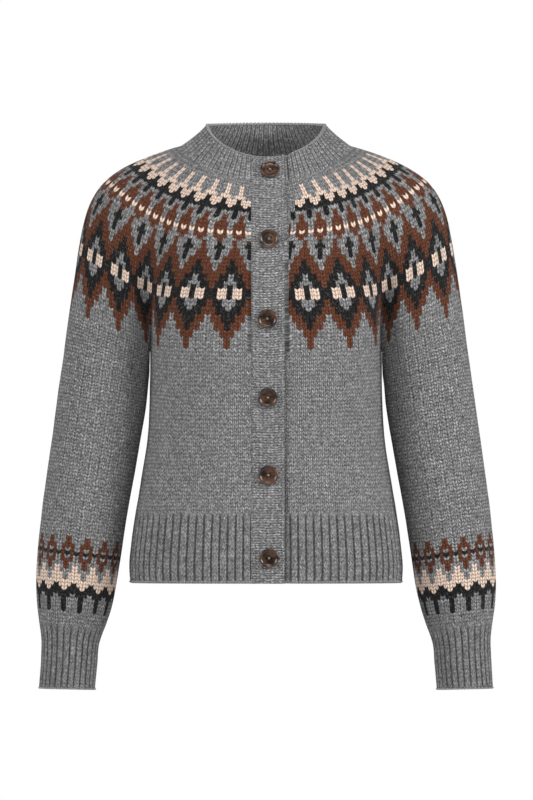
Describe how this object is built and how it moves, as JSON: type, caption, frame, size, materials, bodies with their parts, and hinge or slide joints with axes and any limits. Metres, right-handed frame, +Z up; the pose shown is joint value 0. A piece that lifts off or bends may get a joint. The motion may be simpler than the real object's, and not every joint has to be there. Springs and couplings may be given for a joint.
{
  "type": "round-yoke crewneck cardigan",
  "caption": "Knitted crewneck cardigan with a patterned round yoke and cuffs, ribbed bands and a buttoned front, filled out as worn with no wearer.",
  "frame": {"origin": "middle of the neck at the height of the neck points, where the garment hangs from the wearer's neck and shoulders", "axes": "+Z up, the front with the buttons faces -Y, +X is the wearer's left"},
  "size_m": [0.5512, 0.2366, 0.6794],
  "materials": {
    "patterned_wool": "stranded colourwork knit, matt",
    "heather_wool": "plain knit in heather grey, matt",
    "ribbed_wool": "ribbed knit in heather grey, matt",
    "button_horn": "mottled dark brown, polished"
  },
  "bodies": {
    "root": {"yoke": "patterned_wool", "front_left": "heather_wool", "front_right": "heather_wool", "back": "heather_wool", "sleeve_left": "heather_wool", "sleeve_right": "heather_wool", "neckband": "ribbed_wool", "hem_left": "ribbed_wool", "hem_right": "ribbed_wool", "hem_back": "ribbed_wool", "cuff_left": "ribbed_wool", "cuff_right": "ribbed_wool", "buttonhole_band": "ribbed_wool", "button_band": "ribbed_wool", "button_1": "button_horn", "button_2": "button_horn", "button_3": "button_horn", "button_4": "button_horn", "button_5": "button_horn", "button_6": "button_horn"}
  },
  "joints": []
}
